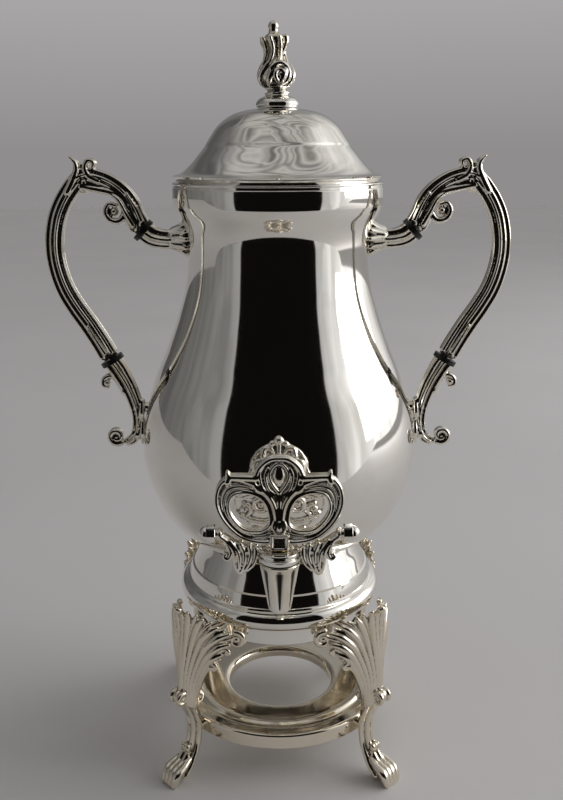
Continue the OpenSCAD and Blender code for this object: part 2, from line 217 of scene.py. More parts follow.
def joined(parts):
    verts, faces, start = [], [], 0
    for v, f in parts:
        verts.append(v)
        faces += [tuple(i + start for i in face) for face in f]
        start += len(v)
    return np.vstack(verts), faces


def reed(knots, radii, sides=14, flat=1.0):
    """A tapered cast bar along a smooth line, with rounded ends. flat squeezes it front to back."""
    knots = np.array(knots, float)
    line = smooth_line(np.column_stack([knots, radii]), 0.7)
    path, radius = line[:, :3], np.maximum(line[:, 3], 0.05)
    along = heading(path)
    across = np.array([0.0, 1.0, 0.0])
    side = across - (along @ across)[:, None] * along
    side /= np.linalg.norm(side, axis=1)[:, None]
    third = np.cross(along, side)
    # extra rings close each end like half a ball
    dome = np.radians([80, 55, 28])
    rings = [(path[0] - along[0] * radius[0] * math.sin(a), radius[0] * math.cos(a), 0) for a in dome]
    rings += [(path[i], radius[i], i) for i in range(len(path))]
    last = len(path) - 1
    rings += [(path[-1] + along[-1] * radius[-1] * math.sin(a), radius[-1] * math.cos(a), last)
              for a in dome[::-1]]
    turn = np.linspace(0, 2 * np.pi, sides, endpoint=False)
    verts = np.vstack([p + r * (flat * np.cos(turn)[:, None] * side[i] + np.sin(turn)[:, None] * third[i])
                       for p, r, i in rings])
    faces = quads(len(rings), sides, close_rows=False)
    faces.append(tuple(range(sides))[::-1])
    faces.append(tuple(range((len(rings) - 1) * sides, len(rings) * sides)))
    return verts, faces


def layers(depths, knots, radii):
    """A curve in the XZ plane cast as one reed at each depth along Y."""
    return [reed([(x, y, z) for x, z in knots], radii) for y in depths]


def scroll(centre, start_radius, start_angle, turns, thick, y=0.0, end_radius=0.8):
    """Knots and radii, for reed(), of a flat spiral in the XZ plane that winds in to its centre."""
    count = max(8, int(abs(turns) * 14))
    t = np.linspace(0, 1, count)
    angle = np.radians(start_angle) + t * turns * 2 * np.pi
    radius = start_radius + (end_radius - start_radius) * t
    knots = np.column_stack([centre[0] + radius * np.cos(angle), np.full(count, y),
                             centre[1] + radius * np.sin(angle)])
    return knots, np.linspace(*thick, count)


def ball(centre, radius, squash=(1, 1, 1), rings=12, sides=20):
    outline = [(radius * math.sin(a), -radius * math.cos(a)) for a in np.linspace(0, math.pi, rings)]
    verts, faces = capped_lathe(outline, sides)
    return verts * np.array(squash) + np.array(centre, float), faces


def fused(name, parts, voxel, smooth):
    """Parts melted into one skin, as in a casting, with soft hollows where they meet."""
    verts, faces = joined(parts)
    rough = placed(name + "_rough", new_mesh(name, verts, faces))
    remesh = rough.modifiers.new("melt", "REMESH")
    remesh.mode = "VOXEL"
    remesh.voxel_size = voxel * MM
    soften = rough.modifiers.new("polish", "SMOOTH")
    soften.factor = 0.5
    soften.iterations = smooth
    graph = bpy.context.evaluated_depsgraph_get()
    cast = bpy.data.meshes.new_from_object(rough.evaluated_get(graph))
    cast.name = name
    bpy.data.objects.remove(rough)
    return cast


# ---- materials ----

def linear(hex_colour):
    """An sRGB hex colour as linear RGBA."""
    channels = [int(hex_colour[i:i + 2], 16) / 255 for i in (1, 3, 5)]
    return [c / 12.92 if c <= 0.04045 else ((c + 0.055) / 1.055) ** 2.4 for c in channels] + [1.0]


def socket(source):
    """A node stands for its first output."""
    return source.outputs[0] if isinstance(source, bpy.types.Node) else source


def node(tree, kind, settings=(), links=()):
    """Add one node. settings are {input or attribute: value}, links are {input: node or output}."""
    made = tree.nodes.new("ShaderNode" + kind)
    for key, value in dict(settings).items():
        if isinstance(key, int) or key in made.inputs:
            made.inputs[key].default_value = value
        else:
            setattr(made, key, value)
    for key, source in dict(links).items():
        tree.links.new(socket(source), made.inputs[key])
    return made


def ramp(made, stops):
    """Set the stops of a colour ramp: (position, grey level or colour)."""
    elements = made.color_ramp.elements
    while len(elements) > 1:
        elements.remove(elements[-1])
    for i, (position, colour) in enumerate(stops):
        element = elements[0] if i == 0 else elements.new(position)
        element.position = position
        element.color = colour if hasattr(colour, "__len__") else (colour, colour, colour, 1)
    return made


def new_material(name):
    material = bpy.data.materials.new(name)
    material.use_nodes = True
    tree = material.node_tree
    tree.nodes.clear()
    output = node(tree, "OutputMaterial")
    shader = node(tree, "BsdfPrincipled")
    tree.links.new(shader.outputs["BSDF"], output.inputs["Surface"])
    coordinates = node(tree, "TexCoord").outputs["Object"]
    return material, tree, shader, coordinates


def wire(tree, shader, colour, gloss, bump):
    """Join a finish's colour, roughness and relief to its shader."""
    for name, source in (("Base Color", colour), ("Roughness", gloss), ("Normal", bump)):
        tree.links.new(socket(source), shader.inputs[name])


def polished_silver_plate():
    """Silver plate over spun brass, buffed to a mirror: clear reflections, broken only by hair-fine
    polishing marks, slight waves in the sheet and a faint warm bloom of old tarnish."""
    material, tree, shader, place = new_material("polished_silver_plate")
    shader.inputs["Metallic"].default_value = 1.0
    # bloom patches about 40 mm across, drawn very weak
    bloom = node(tree, "TexNoise", {"Scale": 1 / 0.040, "Detail": 5.0}, {"Vector": place})
    tint = ramp(node(tree, "ValToRGB", links={"Fac": bloom}),
                [(0.30, linear("#f1ece2")), (0.62, linear("#f6f3ee")), (0.80, linear("#e9dfcd"))])
    # hairlines from the buffing cloth run round the piece, about 0.4 mm apart as drawn
    stretched = node(tree, "Mapping", {"Scale": (300, 300, 2600)}, {"Vector": place})
    hairs = node(tree, "TexNoise", {"Scale": 1.0, "Detail": 3.0}, {"Vector": stretched})
    gloss = node(tree, "MapRange", {"From Min": 0.3, "From Max": 0.75, "To Min": 0.035, "To Max": 0.085},
                 {"Value": hairs})
    # slow waves left by spinning and raising, 25 mm long and a few microns high
    waves = node(tree, "TexNoise", {"Scale": 1 / 0.025, "Detail": 1.0}, {"Vector": place})
    bump = node(tree, "Bump", {"Strength": 0.25, "Distance": 0.00010}, {"Height": waves})
    wire(tree, shader, tint, gloss, bump)
    return material


def cast_silver_plate(name, hollow, high):
    """Silver plate over castings: bright on the ridges, with dark tarnish left in the hollows where the polishing
    cloth doesn't reach, and a slightly grainy cast skin. Along the spout's flutes the same dark colour is painted
    shade."""
    material, tree, shader, place = new_material(name)
    shader.inputs["Metallic"].default_value = 1.0
    groove = node(tree, "Attribute", {"attribute_name": "hollow"})
    depth = ramp(node(tree, "ValToRGB", links={"Fac": groove.outputs["Fac"]}),
                 [(0.10, 1.0), (0.75, 0.0)])
    stain = node(tree, "TexNoise", {"Scale": 1 / 0.012, "Detail": 4.0}, {"Vector": place})
    bright = ramp(node(tree, "ValToRGB", links={"Fac": stain}),
                  [(0.35, linear(high)), (0.75, linear("#ebe1cc"))])
    colour = node(tree, "Mix", {"data_type": "RGBA", 6: linear(hollow)},
                  {0: depth, 7: bright})
    # cast grain about 0.6 mm across
    grain = node(tree, "TexNoise", {"Scale": 1 / 0.0006, "Detail": 2.0}, {"Vector": place})
    gloss = node(tree, "MapRange", {"To Min": 0.30, "To Max": 0.10},
                 {"Value": depth})
    bump = node(tree, "Bump", {"Strength": 0.15, "Distance": 0.00008}, {"Height": grain})
    wire(tree, shader, colour.outputs[2], gloss, bump)
    return material


def plain_stock(name, colour, spread, roughness, metallic, grain_mm, depth_mm):
    """Solid stock in two close tones, colour to spread, with its own fine surface grain."""
    material, tree, shader, place = new_material(name)
    shader.inputs["Metallic"].default_value = metallic
    grain = node(tree, "TexNoise", {"Scale": 1000 / grain_mm, "Detail": 4.0}, {"Vector": place})
    tint = ramp(node(tree, "ValToRGB", links={"Fac": grain}),
                [(0.3, linear(colour)), (0.8, linear(spread))])
    gloss = node(tree, "MapRange", {"To Min": roughness - 0.06, "To Max": roughness + 0.08},
                 {"Value": grain})
    bump = node(tree, "Bump", {"Strength": 0.3, "Distance": depth_mm * MM}, {"Height": grain})
    wire(tree, shader, tint, gloss, bump)
    return material


SILVER = polished_silver_plate()
# 2e2a25 is tarnish in the castings' hollows; on the spout's flutes it is painted shade
CAST = cast_silver_plate("cast_silver_plate", "#2e2a25", "#f4f0e8")
WARM_CAST = cast_silver_plate("warm_cast_silver_plate", "#3c352a", "#efe6d6")
# hard rubber, turned and polished: black with a soft sheen
EBONITE = plain_stock("turned_ebonite", "#101011", "#1d1c1c", roughness=0.38,
                      metallic=0.0, grain_mm=0.5, depth_mm=0.03)
# brass bar, machined and left bare: dull yellow
BRASS = plain_stock("machined_brass", "#b08d4c", "#c4a566", roughness=0.32,
                    metallic=1.0, grain_mm=0.4, depth_mm=0.02)
# red fibre board, stamped: matt and slightly mottled
FIBRE = plain_stock("stamped_red_fibre", "#5a2a1c", "#74402c", roughness=0.7,
                    metallic=0.0, grain_mm=0.8, depth_mm=0.05)


# ---- camera, light and floor ----

def make_camera():
    """At the tap's side, a little above the vessel's mouth, looking down on it."""
    data = bpy.data.cameras.new("camera")
    data.sensor_width = 36.0
    data.lens = 40.5
    data.shift_x = 0.0034
    camera = placed("camera", data)
    tilt = Euler((math.radians(90 - 15.49), 0, 0)).to_matrix()
    roll = Matrix.Rotation(math.radians(-0.25), 3, "Z")
    camera.matrix_world = Matrix.Translation((0, -0.538, 0.37515)) @ (tilt @ roll).to_4x4()
    scene.camera = camera


def make_world():
    """A white fabric tent: bright on the right, dim on the left, open and dark in front."""
    world = bpy.data.worlds.new("tent")
    scene.world = world
    world.use_nodes = True
    tree = world.node_tree
    tree.nodes.clear()
    direction = node(tree, "TexCoord").outputs["Generated"]
    parts = node(tree, "SeparateXYZ", links={"Vector": direction})
    x, y, z = (parts.outputs[i] for i in range(3))
    away = node(tree, "Math", {"operation": "MULTIPLY", 1: -1.0}, {0: y})
    bearing = node(tree, "Math", {"operation": "ARCTAN2"}, {0: x, 1: away})
    turned = node(tree, "MapRange", {"From Min": -math.pi, "From Max": math.pi}, {"Value": bearing})

    # brightness of the cloth by bearing, in degrees from the front
    cloths = ((-180, 0.22), (-165, 0.20), (-150, 0.10), (-132, 0.12), (-100, 0.16), (-85, 0.20), (-60, 0.27),
              (-46, 0.33), (46, 0.46), (64, 0.86), (84, 1.25), (116, 1.25), (134, 1.00), (150, 0.66), (166, 0.34))
    tent = ramp(node(tree, "ValToRGB", links={"Fac": turned}),
                [((degrees + 180) / 360, grey) for degrees, grey in cloths])

    # the dark opening at the front: 95 degrees wide, down to the floor's edge and up to the roof
    def sine(degrees):
        return math.sin(math.radians(degrees))

    sideways = node(tree, "Math", {"operation": "ABSOLUTE"}, {0: bearing})
    width = node(tree, "MapRange", {"From Min": math.radians(48), "From Max": math.radians(46.8)},
                 {"Value": sideways})
    foot = node(tree, "MapRange", {"From Min": sine(-70), "From Max": sine(-60)}, {"Value": z})
    head = node(tree, "MapRange", {"From Min": sine(58), "From Max": sine(50)}, {"Value": z})
    corner = node(tree, "Math", {"operation": "MULTIPLY"}, {0: width, 1: foot})
    opening = node(tree, "Math", {"operation": "MULTIPLY"}, {0: corner, 1: head})
    # the side cloths hang in shallow upright folds
    hang = node(tree, "Mapping", {"Scale": (1.0, 1.0, 0.22)}, {"Vector": direction})
    pleats = node(tree, "TexNoise", {"Scale": 4.0, "Detail": 2.0, "Distortion": 0.6},
                  {"Vector": hang})
    shade = ramp(node(tree, "ValToRGB", links={"Fac": pleats}), [(0.35, 0.66), (0.62, 1.0)])
    cloth = node(tree, "Mix", {"data_type": "RGBA", "blend_type": "MULTIPLY", "Factor": 1.0},
                 {6: tent, 7: shade})
    dark = node(tree, "Mix", {"data_type": "RGBA", 7: (0.004, 0.0035, 0.003, 1)},
                {0: opening, 6: cloth.outputs[2]})
    # overhead the cloth hangs in soft folds, much dimmer than the window side
    folds = node(tree, "TexNoise", {"Scale": 1.0, "Detail": 0.5, "Distortion": 3.4}, {"Vector": direction})
    roof = ramp(node(tree, "ValToRGB", links={"Fac": folds}),
                [(0.34, (0.15, 0.148, 0.145, 1)), (0.47, (0.50, 0.495, 0.49, 1)), (0.56, (0.22, 0.217, 0.213, 1)),
                 (0.68, (0.46, 0.455, 0.45, 1))])
    height = node(tree, "MapRange", {"From Min": sine(40), "From Max": sine(62)}, {"Value": z})
    whole = node(tree, "Mix", {"data_type": "RGBA"},
                 {0: height, 6: dark.outputs[2], 7: roof})
    # what is seen directly behind the urn is a plain pale backdrop, which starts in the floor's tone
    rise = node(tree, "MapRange", {"From Max": 0.14}, {"Value": z})
    backdrop = ramp(node(tree, "ValToRGB", links={"Fac": rise}),
                    [(0.0, linear("#8f8d8d")), (1.0, linear("#a7a5a6"))])
    seen = node(tree, "LightPath").outputs["Is Camera Ray"]
    plain = node(tree, "Mix", {"data_type": "RGBA"}, {0: seen, 6: whole.outputs[2], 7: backdrop})
    background = node(tree, "Background", {"Strength": 1.0}, {"Color": plain.outputs[2]})
    node(tree, "OutputWorld", links={"Surface": background})


def make_floor():
    """A wide pale floor under the feet, cut off in front where the tent is open."""
    verts, faces = capped_lathe([(0, 0), (400, 0), (1500, 0), (6000, 0), (6000, -2), (0, -2)], 96)
    verts[:, 1] = np.maximum(verts[:, 1], -450)
    mesh = new_mesh("floor", verts, faces)
    material, tree, shader, place = new_material("pale_paper")
    cloud = node(tree, "TexNoise", {"Scale": 3.0, "Detail": 3.0}, {"Vector": place})
    tone = ramp(node(tree, "ValToRGB", links={"Fac": cloud}),
                [(0.2, linear("#dedbdb")), (0.8, linear("#e4e2e2"))])
    tree.links.new(socket(tone), shader.inputs["Base Color"])
    shader.inputs["Roughness"].default_value = 0.85
    mesh.materials.append(material)
    placed("floor", mesh)


def make_lights():
    """One large soft window on the right, as high as the urn."""
    data = bpy.data.lights.new("window", "AREA")
    data.shape = "RECTANGLE"
    data.size, data.size_y = 2.0, 1.2
    data.energy = 20
    lamp = placed("window", data)
    lamp.location = (2.1, 0.3, 0.85)
    lamp.rotation_euler = (Vector((0, 0, 0.2)) - lamp.location).to_track_quat("-Z", "Y").to_euler()


scene.view_settings.view_transform = "Standard"
make_camera()
make_world()
make_floor()
make_lights()


# ---- spun vessel and lid ----

def make_body():
    outside = smooth_line([(48, 138), (61.7, 147.5), (71.8, 159), (79.2, 174.5), (83.4, 190), (84, 203),
                           (81.7, 220), (75.9, 240), (67.5, 260), (60.1, 280), (54.6, 300), (53, 320),
                           (54.4, 331), (59.4, 340.5), (61.2, 345)])
    outside = fit_outline(np.vstack([outside, [(61.2, 350), (61.2, 354.2)], arc((60.2, 354.2), 1, 12, 60, 5),
                                     [(60.4, 356.3)]]), "body_shell")
    mesh_piece("vessel", *lathe(sheet_section(outside, WALL)), SILVER, stands_for="body_shell")
    rim = np.vstack([arc((60.5, 356.9), 0.7, -90, 90, 10),
                     [(57.9, 357.6), (57.6, 357.3), (57.6, 356.4), (58, 356.2)]])
    spun("mouth_wire", rim, SILVER, "mouth_rim")


def make_lid():
    outside = smooth_line([(60.9, 361.3), (56.1, 362.8), (50.2, 367.8), (44.6, 374.4), (42, 377.6), (41, 379.4),
                           (38, 384), (34.6, 388.6), (29.9, 392.6), (24.2, 395.6), (15, 397.7), (2.1, 398.5)], 0.6)
    seat = 57.0                  # radius of the step that drops into the mouth
    inside = [p for p in offset_left(outside, WALL)[::-1] if p[0] < seat]
    outline = np.vstack([outside, inside,
                         [(seat, 361), (seat, 358.3), (57.4, 358), (58.4, 358), (60.6, 360.9)]])
    spun("lid_dome", outline, SILVER, "lid_shell", body="lid")


def make_stand():
    bulge = arc((57.6, 106.2), 6.4, 75, -80, 24)
    outside = np.vstack([smooth_line([(48, 137), (50.4, 131), (53, 125.4), (55, 121)]),
                         smooth_line([(56.2, 120.4), (57.2, 117), (58, 113.5)]), bulge])[::-1]
    spun("stand_dome_spun", sheet_section(outside, WALL), SILVER, "stand_dome")
    skirt = np.vstack([[(50, 85.9), (50.3, 85.5), (50.9, 85.5), (51.2, 85.9), (51.2, 92), (51.2, 99)],
                       arc((52.2, 98.6), 1, 180, 90, 5), [(58.3, 99.6), (58.5, 101), (50, 101), (50, 92)]])
    spun("stand_skirt", skirt, SILVER, "stand_collar")


def make_burner_plate():
    top = np.vstack([[(69.5, 26.4), (69.5, 30)], arc((67.5, 33.6), 2, 0, 90, 10),
                     smooth_line([(65, 35.7), (62.5, 35.8), (59.4, 35), (56.6, 36.6), (54.2, 34.6), (52, 33.4),
                                  (48, 33.4)], 0.5),
                     [(40, 33.4)], arc((37.1, 30), 3.4, 90, 180, 12), [(33.7, 26.8)]])
    spun("burner_tray", sheet_section(top, WALL), WARM_CAST, "burner_plate", slot="cast_silver_plate")


make_body()
make_lid()
make_stand()
make_burner_plate()

# ---- cast and chased pieces ----

def strands(knots, radii, layout, step=1):
    """A reeded bar: one reed for every (offset in the curve's plane, offset across it, radius) in
    layout, all three as shares of the bar's own radius. The curve lies in the XZ plane."""
    line = smooth_line(np.column_stack([np.array(knots, float), radii]), step)
    path, radius = line[:, :2], line[:, 2]
    along = heading(path)
    normal = np.column_stack([-along[:, 1], along[:, 0]])
    parts = []
    for u, v, r in layout:
        shifted = path + normal * (u * radius)[:, None]
        points = np.column_stack([shifted[:, 0], v * radius, shifted[:, 1]])
        parts.append(reed(points[::3], (r * radius)[::3], 12))
    return parts


def four(u, v, radius):
    """One reed in each quarter of a bar's section, for strands()."""
    return [(side * u, face * v, radius) for face in (1, -1) for side in (1, -1)]


def spiral(centre, start_radius, start_angle, turns, thick, depth=(0,), end_radius=0.9, sides=12):
    """Flat volutes in the XZ plane, one at each depth along Y, with a bead for the eye."""
    parts = []
    for y in depth:
        knots, radii = scroll(centre, start_radius, start_angle, turns, thick, y=y, end_radius=end_radius)
        parts.append(reed(knots, radii, sides))
        parts.append(ball((centre[0], y, centre[1]), thick[1] * 1.25, rings=8, sides=12))
    return parts


def mark_hollows(mesh, reach=4):
    """Store on each point how deep it lies in a groove, from 0 on a ridge to 1 in a tight hollow."""
    count = len(mesh.vertices)

    def of_points(field):
        values = np.empty(count * 3)
        mesh.vertices.foreach_get(field, values)
        return values.reshape(-1, 3)

    place, normal = of_points("co"), of_points("normal")
    edges = np.empty(len(mesh.edges) * 2, int)
    mesh.edges.foreach_get("vertices", edges)
    a, b = edges[0::2], edges[1::2]
    degree = np.maximum(np.bincount(edges, minlength=count), 1)

    def average(values):
        total = np.zeros(count)
        np.add.at(total, a, values[b])
        np.add.at(total, b, values[a])
        return total / degree

    around = np.column_stack([average(place[:, i]) for i in range(3)])
    depth = ((around - place) * normal).sum(1)
    for _ in range(reach):
        depth = 0.5 * depth + 0.5 * average(depth)
    depth = np.clip(depth / TIGHT_HOLLOW, 0, 1)
    mesh.attributes.new("hollow", "FLOAT", "POINT").data.foreach_set("value", depth.astype(np.float32))


def cast_piece(name, parts, material, voxel, stands_for, body="urn", turn=0,
               flat_foot=False, smooth=2):
    """One casting that stands for a CAD node, turned about the vessel's axis by turn degrees. Detail
    finer than voxel, in millimetres, melts away; flat_foot planes it off at the table."""
    mesh = fused(name, parts, voxel * (1), smooth)
    if flat_foot:
        for vertex in mesh.vertices:
            vertex.co.z = max(vertex.co.z, 0)
    mesh.transform(Matrix.Rotation(math.radians(turn), 4, "Z"))
    mark_hollows(mesh)
    dress(mesh, name, material, body, stands_for)


def make_grips():
    path = [(81.2, 333), (84.2, 338.6), (87.2, 347), (93.8, 354.4), (103, 359.4), (113.4, 360.4), (122.2, 351.6),
            (128.4, 340.4), (131.4, 328.6), (132, 317), (130.4, 306), (126.8, 295), (121, 284.4), (114.2, 274),
            (108, 263.6), (103.4, 255)]
    sizes = [6.5, 6.4, 5.9, 5.5, 5.3, 5.4, 5.3, 5.3, 5.4, 5.4, 5.5, 5.6, 5.7, 5.8, 5.9, 6]
    section = [(0, 0, 0.70), *four(0.34, 0.1, 0.58), *four(0.22, 0.64, 0.15), *four(0.74, 0.48, 0.22)]
    parts = strands(path, sizes, section)
    # two horns of the crest, with the web between them and its veins
    crest = (-2.8, 0, 2.8)
    parts += layers(crest, [(122, 352.5), (118.4, 359), (116.2, 364.6), (116.6, 368.6), (119.6, 372)],
                    [2.2, 2.2, 1.9, 1.5, 0.7])
    parts += layers(crest, [(104, 358.6), (109.4, 361.6), (111.2, 366.2), (109.4, 370), (106.2, 369.2),
                            (106.6, 366.6)], [2, 1.9, 1.6, 1.4, 1.2, 1])
    parts.append(reed([(113.6, 0, 356), (113.8, 0, 362), (113.8, 0, 367)], [5, 3.8, 2.2], flat=0.8))
    for y in (-3.4, 3.4):
        parts.append(reed([(113.8, y, 357), (113.8, y * 0.9, 364)], [0.9, 0.6]))
        parts.append(reed([(117.4, y, 357), (115.2, y * 0.9, 365)], [0.7, 0.5]))
        parts.append(reed([(110.4, y, 357.4), (112.4, y * 0.9, 365)], [0.7, 0.5]))
    # inner volute under the arch
    parts += layers((-2.4, 0, 2.4), [(114, 355.4), (104, 353.6), (95.6, 351.4), (90, 346.6), (89.2, 340.4),
                                     (92.8, 335.7), (98.2, 336.5), (100.8, 341), (98.6, 345.4), (94.6, 344.6)],
                    [1.8, 2.1, 2.4, 2.4, 2.3, 2.1, 1.8, 1.6, 1.4, 1.2])
    parts.append(ball((95.8, 0, 341.2), 2.7, (1, 1.5, 1)))
    # leaf sheaths beside the two insulating rings
    for y in (-1, 1):
        parts.append(reed([(84.4, 5.2 * y, 333.4), (88.6, 5.4 * y, 341), (92.6, 5 * y, 348), (98.6, 4 * y, 352.4)],
                          [1.6, 1.5, 1.2, 0.6]))
        parts.append(reed([(79.6, 4.9 * y, 336), (83, 5 * y, 344), (87.6, 4.6 * y, 351.6)], [1.4, 1.2, 0.6]))
        parts.append(reed([(105, 5 * y, 257), (109.6, 5.2 * y, 265), (114.6, 4.8 * y, 273.6)], [1.5, 1.2, 0.5]))
    for label, own in pair(parts):
        cast_piece("grip_cast_" + label, own, CAST, 0.42, "grip_" + label, smooth=3)


def make_sockets():
    upper = strands([(77.4, 328.8), (73.6, 326.4), (67, 325), (60.6, 325), (55, 325)], [6.7, 6.7, 6.4, 6.6, 8],
                    [(0, 0, 0.86), *four(0.62, 0.45, 0.26), (0, 0.8, 0.24), (0, -0.8, 0.24)])
    # a ring of petals spreads the socket's foot over the neck
    petals, neck, mid = 12, 53.6, 325
    for k in range(petals):
        angle = 2 * math.pi * k / petals
        y, z = 9.0 * math.cos(angle), mid + 0.5 + 9.4 * math.sin(angle)
        wall = math.sqrt(neck ** 2 - y * y)
        upper.append(reed([(62, y * 0.5, mid + (z - mid) * 0.5), (57.4, y * 0.7, mid + (z - mid) * 0.7),
                           (wall + 0.6, y, z)], [2.3, 2.3, 1.6]))
    lower = strands([(101, 250.6), (98, 246), (93, 236.4), (89.2, 226), (87.4, 216), (88.2, 207.4), (91.8, 201),
                     (97.2, 198.6)],
                    [5.9, 5.7, 5.1, 4.6, 4.2, 3.8, 3.3, 2.8],
                    [(0, 0, 0.72), *four(0.62, 0.4, 0.32), (0, 0.72, 0.2), (0, -0.72, 0.2)])
    lower += layers((-1.5, 0, 1.5), [(95.4, 232), (99.2, 239.6), (103, 242.2), (107.2, 240.4), (108, 236.4),
                                     (105, 235.2)], [2, 1.9, 1.6, 1.5, 1.3, 1.1])
    lower.append(ball((105.4, 0, 238), 2.4, (1, 1.5, 1)))
    lower += spiral((101.4, 203.4), 5, 235, 1.6, (1.9, 1.2), depth=(-1.9, 0, 1.9))
    # two lugs carry it on the belly
    for z, reach in ((222, 80.8), (204.4, 83.4)):
        lower.append(reed([(88.6, 0, z), (reach, 0, z)], [3.4, 3]))
    for z0, z1 in ((226, 212), (212, 199)):
        for y in (-3.4, 0, 3.4):
            lower.append(reed([(84.6, y * 0.6, z0), (84.9, y, (z0 + z1) / 2), (85.2, y * 0.3, z1)],
                              [1.4, 1.7, 1]))
    for (label, own_upper), (_, own_lower) in zip(pair(upper), pair(lower)):
        for where, own in (("upper", own_upper), ("lower", own_lower)):
            cast_piece(f"socket_cast_{where}_{label}", own, CAST, 0.45, f"socket_{where}_{label}", smooth=3)


def make_legs():
    # one side's leaf: reeds that leave the stem side by side and sweep round the skirt
    fan = np.array([
        [(85, 1.4, 52), (84.2, 1.6, 72), (81.6, 3, 96), (80.8, 4.4, 108), (82.4, 5.6, 113.6)],
        [(84.6, 2.9, 52), (83.4, 3.4, 72), (80.2, 7, 95), (78, 10.2, 105.4), (77.4, 13, 110)],
        [(83.6, 4.3, 52), (82.4, 5, 71), (78.8, 10.4, 92.4), (74.8, 15.8, 102), (72, 19.8, 105.4)],
        [(82.4, 5.3, 51), (81.2, 6.4, 69), (77.4, 12.8, 88.6), (72.2, 19.4, 98), (67, 24.6, 101)],
        [(81, 5.9, 50), (80, 7.2, 66), (76.8, 13.6, 83.6), (72, 19.6, 92), (67, 24.2, 94)],
        [(79.6, 6.1, 49), (78.8, 7.4, 62), (76.4, 12.8, 78), (73.2, 17.2, 85), (70, 20.6, 87)],
        [(78.2, 6, 49), (77.6, 7.2, 59), (75.8, 11.6, 73), (73.8, 15, 78.6), (72, 16.8, 79)]])
    sizes = [[0.95, 1.05, 1.7, 2.3, 1.3]] * len(fan)
    # thin metal behind and between the reeds closes the leaf
    web = (fan[1:] + fan[:-1]) / 2 - np.array([1.5, 0.4, 0])
    fan = np.vstack([fan, web])
    sizes += [[1.3, 1.4, 2.2, 2.2, 1]] * len(web)
    half = [reed(knots, radii) for knots, radii in zip(fan, sizes)]
    # the rolled end against the skirt and two small ones under the leaf
    for centre, size, thick, turns, out in (((62.6, 26.4, 96.6), 5, 2, 1.35, (0.55, -0.83, 0)),
                                            ((73.4, 17, 78.6), 2.6, 1.4, 1, (0.4, -0.9, 0)),
                                            ((67.6, 22.8, 88.4), 2.2, 1.3, 0.9, (0.4, -0.9, 0))):
        t = np.linspace(0, 1, 18)
        angle = math.radians(100) - t * turns * 2 * math.pi
        radius = (size * (1 - 0.78 * t))[:, None]
        half.append(reed(np.array(centre) - radius * np.cos(angle)[:, None] * np.array(out)
                         + radius * np.sin(angle)[:, None] * np.array([0, 0, 1]), thick * (1 - 0.4 * t)))
        half.append(ball(centre, thick * 0.9))
    # knee: a roll to the outside, a smaller one to the inside
    half += spiral((86.6, 56.4), 4, 120, -1.3, (1.6, 1), depth=(3.3,))
    half += spiral((75, 52.6), 4.2, 60, 1.4, (1.7, 0.9), depth=(3.6,))
    # shin reeds, one on the face and one on the flank
    half.append(reed([(83, 1.4, 52), (79.6, 1.4, 44), (77.4, 1.5, 34), (79, 1.6, 22), (85, 1.8, 13), (90, 2, 9)],
                     [1.9, 1.8, 1.8, 1.8, 1.9, 2]))
    half.append(reed([(80.4, 3.9, 51), (76.8, 3.8, 42), (74.6, 3.7, 32), (76.2, 3.9, 21), (82, 4.6, 10.4),
                      (88, 5.2, 4.6)], [1.9, 1.8, 1.8, 1.9, 2.1, 2.3]))
    # toes
    for y0, y1 in ((1.2, 1.6), (3.6, 4.9)):
        half.append(reed([(83, y0, 13), (88.6, y1, 10.2), (93.4, y1, 7.6), (96.2, y1 * 0.9, 2.2)],
                         [1.7, 2.2, 2.8, 2.5]))
    parts = half + [mirrored(part, (1, -1, 1)) for part in half]
    parts += [
        # middle rib to the curled top
        reed([(84.6, 0, 58), (82.8, 0, 80), (80.4, 0, 98), (81, 0, 108), (83.6, 0, 113.6), (85.2, 0, 115)],
             [2.2, 2.4, 2.6, 2.2, 1.7, 1.9]),
        ball((84.4, 0, 114.2), 2.4),
        # body behind the reeds
        reed([(80.4, 0, 54), (78.8, 0, 70), (75.8, 0, 86), (75.4, 0, 98)], [4.6, 4.6, 4.6, 3.4]),
        reed([(84, 0, 57), (78, 0, 47), (74.6, 0, 36), (75, 0, 24), (81, 0, 11), (88, 0, 3.4)],
             [4.2, 4.2, 3.8, 3.8, 4.4, 4.6]),
        ball((86, 0, 57.2), 4.2, (1, 0.9, 1)),
        # lugs that carry the skirt and the burner plate
        reed([(78, 0, 92), (66, 0, 92), (51.6, 0, 92)], [3.4, 3, 3]),
        reed([(76, 0, 30), (70, 0, 31)], [3.2, 3.2]),
        # drop on the shin, and beads over the toes
        ball((79.2, 0, 38), 1.9, (0.9, 0.9, 2.4))]
    parts += [ball((82.6, y, 19.4), 1.9, (1.1, 0.8, 1.6)) for y in (-2.2, 0, 2.2)]
    for label, turn in (("back_right", 45), ("back_left", 135), ("front_left", 225), ("front_right", 315)):
        cast_piece("leg_cast_" + label, parts, WARM_CAST, 0.4, "leg_" + label,
                   turn=turn, flat_foot=True)


def band(outer, inner, y0, y1, count=120):
    """A flat ring between two closed outlines in the XZ plane, from depth y0 to y1, and both outlines."""
    def even(loop):
        loop = np.array(loop, float)
        closed = smooth_line(np.vstack([loop[-1:], loop, loop[:2]]), 0.5)
        first = int(np.argmin(np.linalg.norm(closed - loop[0], axis=1)))
        last = len(closed) - 1 - int(np.argmin(np.linalg.norm(closed[::-1] - loop[0], axis=1)))
        closed = closed[first:max(last, first + 5)]
        run = np.concatenate([[0], np.cumsum(np.linalg.norm(np.diff(closed, axis=0), axis=1))])
        at = np.linspace(0, run[-1], count, endpoint=False)
        return np.column_stack([np.interp(at, run, closed[:, i]) for i in range(2)])
    a, b = even(outer), even(inner)
    rings = [(a, y0), (a, y1), (b, y1), (b, y0)]
    verts = np.vstack([np.column_stack([loop[:, 0], np.full(count, y), loop[:, 1]]) for loop, y in rings])
    return (verts, quads(4, count)), a, b


